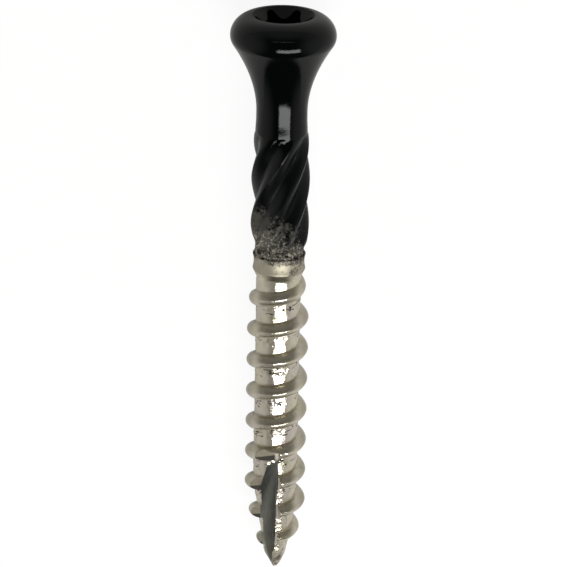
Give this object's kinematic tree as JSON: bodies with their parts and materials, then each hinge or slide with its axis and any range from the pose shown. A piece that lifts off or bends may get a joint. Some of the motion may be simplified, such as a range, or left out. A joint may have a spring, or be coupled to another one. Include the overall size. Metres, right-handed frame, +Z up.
{
  "type": "deck screw",
  "caption": "Stainless deck screw with a raised trim head, star recess, twisted reamer ribs, coarse wood thread and slash point, black lacquer on its upper part.",
  "frame": {"origin": "centre of the footprint's bounding box, on the surface that the screw lies on", "axes": "+Z up; the screw lies along Y with its head at +Y and its tip at -Y, tilted about 2.5 degrees because it rests on the head's rim and one thread crest; the slash cut faces up"},
  "size_m": [0.0084, 0.0476, 0.0083],
  "materials": {
    "stainless_steel": "rolled bright stainless steel, with gloss black lacquer on the head, shank and ribs that fades out in speckles above the collar"
  },
  "bodies": {
    "root": {"deck_screw": "stainless_steel"}
  },
  "joints": []
}
